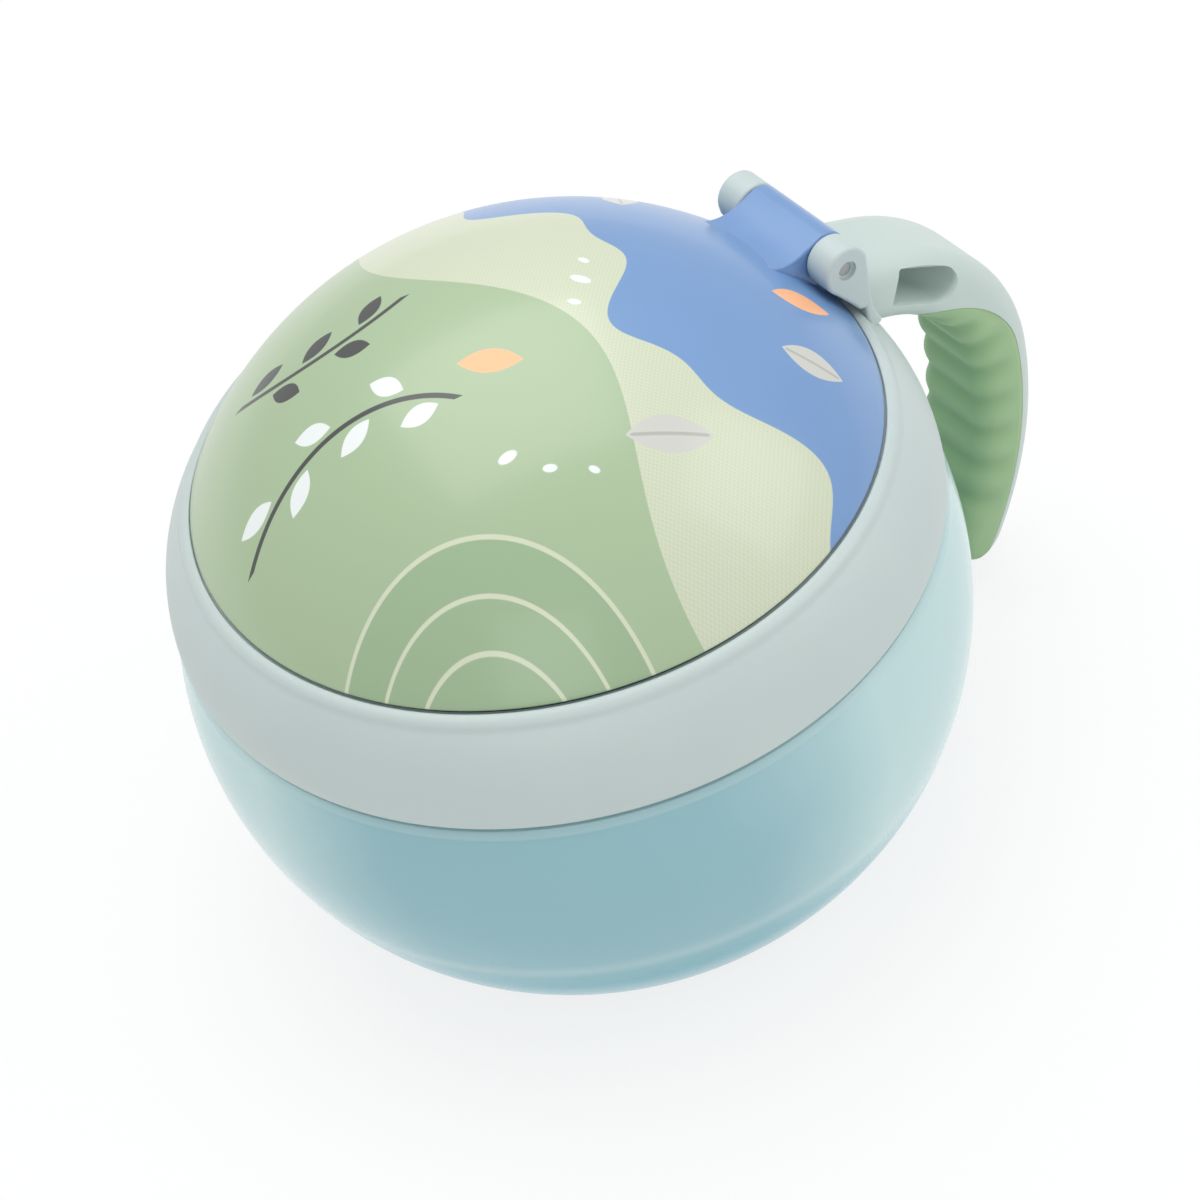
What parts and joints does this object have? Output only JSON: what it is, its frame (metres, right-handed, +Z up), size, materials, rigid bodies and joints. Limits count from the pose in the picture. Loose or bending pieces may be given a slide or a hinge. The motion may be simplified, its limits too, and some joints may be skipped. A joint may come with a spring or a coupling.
{
  "type": "toddler snack container",
  "caption": "Toddler snack container with a translucent round bowl, a screw collar with a ribbed handle, a domed flip lid on a pin and a soft slit flap.",
  "frame": {"origin": "centre of the bowl's flat base, on the plane it stands on", "axes": "+Z up along the bowl's axis; +Y towards the handle and the lid's hinge; +X along the hinge pin"},
  "size_m": [0.1032, 0.1242, 0.0879],
  "materials": {
    "bowl": "satin translucent",
    "flap": "matte silicone",
    "collar": "satin",
    "handle": "satin",
    "grip": "soft matte",
    "pin": "satin",
    "lid": "gloss"
  },
  "bodies": {
    "bowl_body": {"bowl": "bowl"},
    "flap_body": {"flap": "flap"},
    "collar_body": {"collar": "collar", "handle": "handle", "grip": "grip", "hinge_pin": "pin"},
    "lid_body": {"lid": "lid"}
  },
  "joints": [
    {"name": "screw_rise", "type": "slide", "parent": "bowl_body", "child": "flap_body", "axis": [0, 0, 1], "range_m": [0, 0.0101]},
    {"name": "collar_turn", "type": "hinge", "parent": "flap_body", "child": "collar_body", "pos_m": [0, 0, 0.0575], "axis": [0, 0, 1], "range_deg": [0, 360]},
    {"name": "lid_hinge", "type": "hinge", "parent": "collar_body", "child": "lid_body", "pos_m": [0, 0.0424, 0.0714], "axis": [-1, 0, 0], "range_deg": [0, 150]}
  ],
  "couplings": [
    {"joint": "screw_rise", "follows": "collar_turn", "m_per_rad": 0.0015915}
  ]
}
